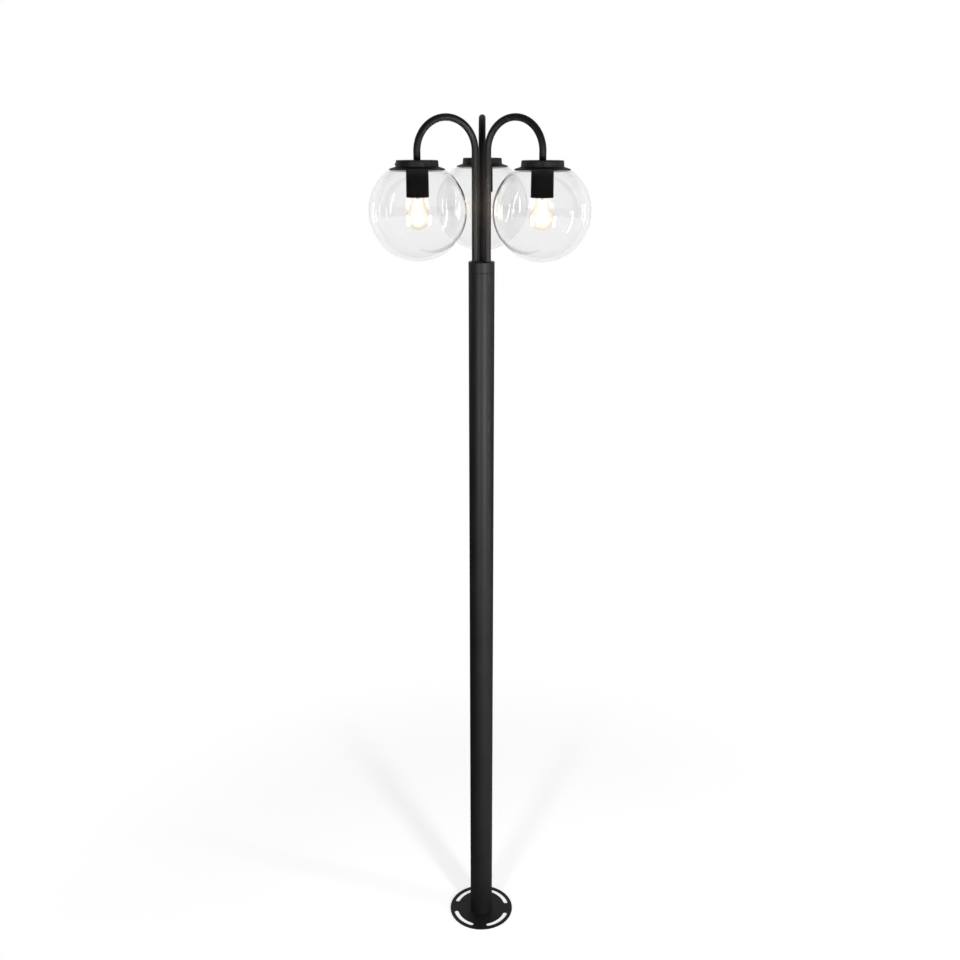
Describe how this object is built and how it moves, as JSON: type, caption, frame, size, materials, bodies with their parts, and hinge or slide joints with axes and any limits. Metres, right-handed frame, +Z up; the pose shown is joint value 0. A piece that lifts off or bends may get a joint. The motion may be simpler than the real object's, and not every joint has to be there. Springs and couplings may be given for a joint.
{
  "type": "outdoor post light",
  "caption": "Tall black outdoor post light on a round slotted base plate, with swan-neck arms that each carry a clear glass globe with a screw-in filament bulb.",
  "frame": {"origin": "on the pole's axis, at the underside of the base plate, in the mouth of the cable bush", "axes": "+Z up along the pole; -Y to the viewer, so that one arm points straight back along +Y"},
  "size_m": [0.452, 0.418, 1.9815],
  "materials": {
    "powder_coat": "satin black powder coat",
    "clear_glass": "clear blown glass",
    "bulb_glass": "satin bulb glass",
    "holder_black": "satin black moulding",
    "porcelain": "white glazed porcelain",
    "nickel": "nickel-plated",
    "zinc_steel": "zinc-plated",
    "black_steel": "black oxide",
    "contact_brass": "bright brass",
    "seal_rubber": "soft matt rubber",
    "cable_sheath": "smooth rubber sheath",
    "terminal_plastic": "natural polyamide",
    "filament": "glass stem with lit filaments"
  },
  "bodies": {
    "post": {"base_plate": "powder_coat", "cable_bush": "seal_rubber", "pole_tube": "powder_coat", "head_collar": "powder_coat", "head_screws": "black_steel", "terminal_rod": "zinc_steel", "terminal_nuts": "zinc_steel", "terminal_block": "terminal_plastic", "terminal_screws": "contact_brass", "arm_studs": "zinc_steel", "arm_washers": "zinc_steel", "arm_nuts": "zinc_steel", "cap_studs": "zinc_steel", "cap_nuts": "zinc_steel", "arm_tube_left": "powder_coat", "arm_cable_left": "cable_sheath", "lamp_cap_left": "powder_coat", "globe_seal_left": "seal_rubber", "globe_left": "clear_glass", "holder_sleeve_left": "holder_black", "holder_core_left": "porcelain", "holder_shell_left": "nickel", "arm_tube_right": "powder_coat", "arm_cable_right": "cable_sheath", "lamp_cap_right": "powder_coat", "globe_seal_right": "seal_rubber", "globe_right": "clear_glass", "holder_sleeve_right": "holder_black", "holder_core_right": "porcelain", "holder_shell_right": "nickel", "arm_tube_back": "powder_coat", "arm_cable_back": "cable_sheath", "lamp_cap_back": "powder_coat", "globe_seal_back": "seal_rubber", "globe_back": "clear_glass", "holder_sleeve_back": "holder_black", "holder_core_back": "porcelain", "holder_shell_back": "nickel"},
    "contact_left": {"holder_contact_left": "contact_brass"},
    "bulb_left": {"bulb_glass_left": "bulb_glass", "bulb_cap_left": "nickel", "filament_mount_left": "filament"},
    "globe_screw_left_1": {"globe_screw_left_1": "black_steel"},
    "globe_screw_left_2": {"globe_screw_left_2": "black_steel"},
    "globe_screw_left_3": {"globe_screw_left_3": "black_steel"},
    "contact_right": {"holder_contact_right": "contact_brass"},
    "bulb_right": {"bulb_glass_right": "bulb_glass", "bulb_cap_right": "nickel", "filament_mount_right": "filament"},
    "globe_screw_right_1": {"globe_screw_right_1": "black_steel"},
    "globe_screw_right_2": {"globe_screw_right_2": "black_steel"},
    "globe_screw_right_3": {"globe_screw_right_3": "black_steel"},
    "contact_back": {"holder_contact_back": "contact_brass"},
    "bulb_back": {"bulb_glass_back": "bulb_glass", "bulb_cap_back": "nickel", "filament_mount_back": "filament"},
    "globe_screw_back_1": {"globe_screw_back_1": "black_steel"},
    "globe_screw_back_2": {"globe_screw_back_2": "black_steel"},
    "globe_screw_back_3": {"globe_screw_back_3": "black_steel"}
  },
  "joints": [
    {"name": "contact_left_slide", "type": "slide", "parent": "post", "child": "contact_left", "axis": [0, 0, -1], "range_m": [0, 0.0029]},
    {"name": "bulb_left_turn", "type": "hinge", "parent": "contact_left", "child": "bulb_left", "pos_m": [-0.12601, -0.07275, 1.856], "axis": [0, 0, -1], "range_deg": [0, 285]},
    {"name": "globe_screw_left_1_slide", "type": "slide", "parent": "post", "child": "globe_screw_left_1", "axis": [0.5, -0.866, 0], "range_m": [0, 0.0025]},
    {"name": "globe_screw_left_2_slide", "type": "slide", "parent": "post", "child": "globe_screw_left_2", "axis": [0.5, 0.866, 0], "range_m": [0, 0.0025]},
    {"name": "globe_screw_left_3_slide", "type": "slide", "parent": "post", "child": "globe_screw_left_3", "axis": [-1, 0, 0], "range_m": [0, 0.0025]},
    {"name": "contact_right_slide", "type": "slide", "parent": "post", "child": "contact_right", "axis": [0, 0, -1], "range_m": [0, 0.0029]},
    {"name": "bulb_right_turn", "type": "hinge", "parent": "contact_right", "child": "bulb_right", "pos_m": [0.12601, -0.07275, 1.856], "axis": [0, 0, -1], "range_deg": [0, 285]},
    {"name": "globe_screw_right_1_slide", "type": "slide", "parent": "post", "child": "globe_screw_right_1", "axis": [0, -1, 0], "range_m": [0, 0.0025]},
    {"name": "globe_screw_right_2_slide", "type": "slide", "parent": "post", "child": "globe_screw_right_2", "axis": [0.866, 0.5, 0], "range_m": [0, 0.0025]},
    {"name": "globe_screw_right_3_slide", "type": "slide", "parent": "post", "child": "globe_screw_right_3", "axis": [-0.866, 0.5, 0], "range_m": [0, 0.0025]},
    {"name": "contact_back_slide", "type": "slide", "parent": "post", "child": "contact_back", "axis": [0, 0, -1], "range_m": [0, 0.0029]},
    {"name": "bulb_back_turn", "type": "hinge", "parent": "contact_back", "child": "bulb_back", "pos_m": [-0.00615, 0.14536, 1.856], "axis": [0, 0, -1], "range_deg": [0, 285]},
    {"name": "globe_screw_back_1_slide", "type": "slide", "parent": "post", "child": "globe_screw_back_1", "axis": [0.8415, 0.5402, 0], "range_m": [0, 0.0025]},
    {"name": "globe_screw_back_2_slide", "type": "slide", "parent": "post", "child": "globe_screw_back_2", "axis": [-0.8886, 0.4586, 0], "range_m": [0, 0.0025]},
    {"name": "globe_screw_back_3_slide", "type": "slide", "parent": "post", "child": "globe_screw_back_3", "axis": [0.0471, -0.9989, 0], "range_m": [0, 0.0025]}
  ],
  "couplings": [
    {"joint": "contact_left_slide", "follows": "bulb_left_turn", "m_per_rad": 0.00057757},
    {"joint": "contact_right_slide", "follows": "bulb_right_turn", "m_per_rad": 0.00057757},
    {"joint": "contact_back_slide", "follows": "bulb_back_turn", "m_per_rad": 0.00057757}
  ]
}
